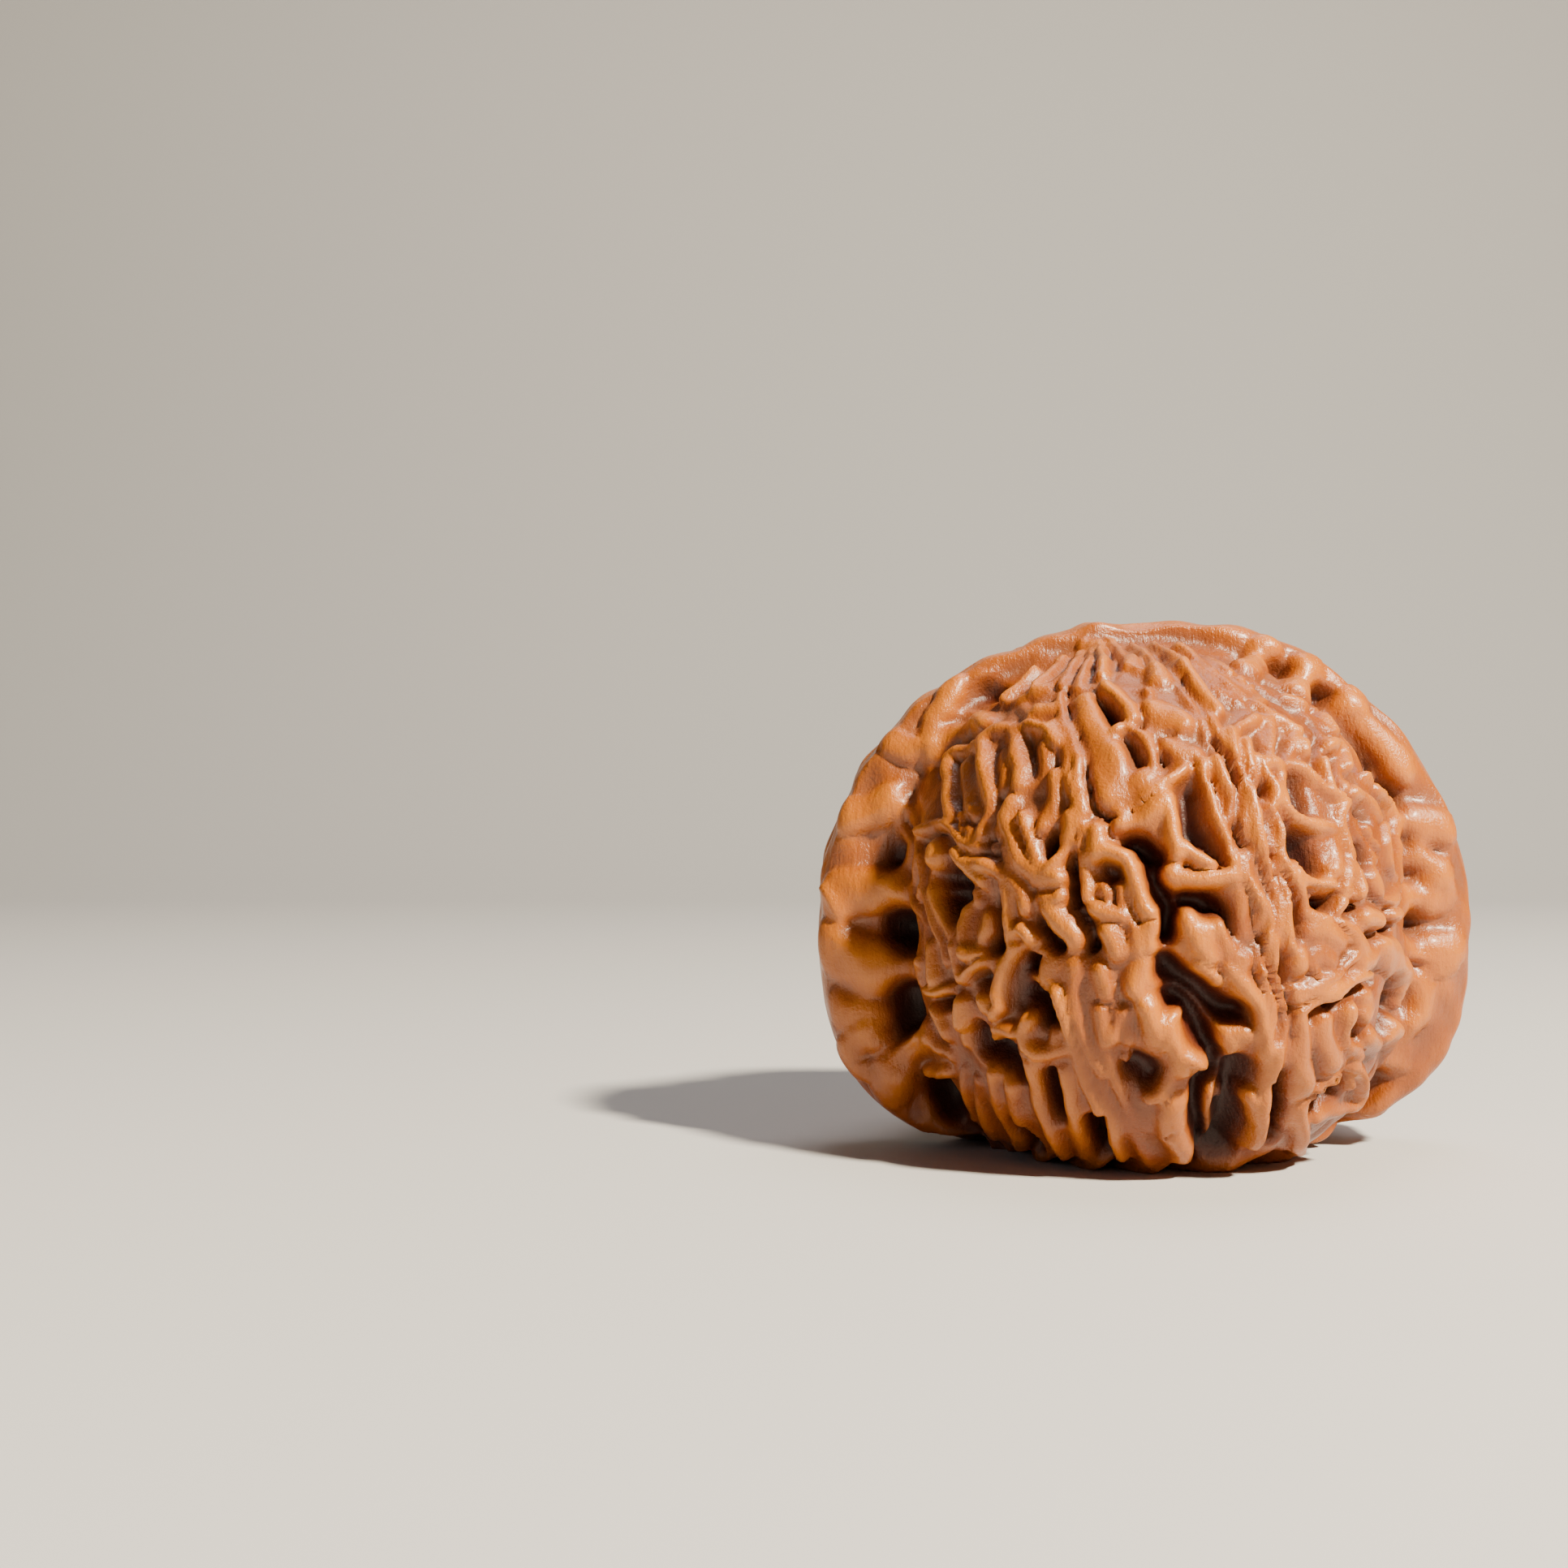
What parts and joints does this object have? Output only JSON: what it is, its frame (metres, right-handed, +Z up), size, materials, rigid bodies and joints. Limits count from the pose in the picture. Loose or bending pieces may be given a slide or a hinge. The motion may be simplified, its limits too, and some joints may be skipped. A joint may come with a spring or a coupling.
{
  "type": "wenwan walnut",
  "caption": "Whole walnut with deep net ridges and a raised rim, polished from being turned in the hand; it stands on its flattened base.",
  "frame": {"origin": "middle of the bounding box at table level, under the nut", "axes": "+Z up through the tip, +X across the nut in the plane of the raised rim, -Y towards the belly the picture shows"},
  "size_m": [0.0433, 0.0393, 0.0351],
  "materials": {
    "shell": "polished, waxy"
  },
  "bodies": {
    "root": {"walnut": "shell"}
  },
  "joints": []
}
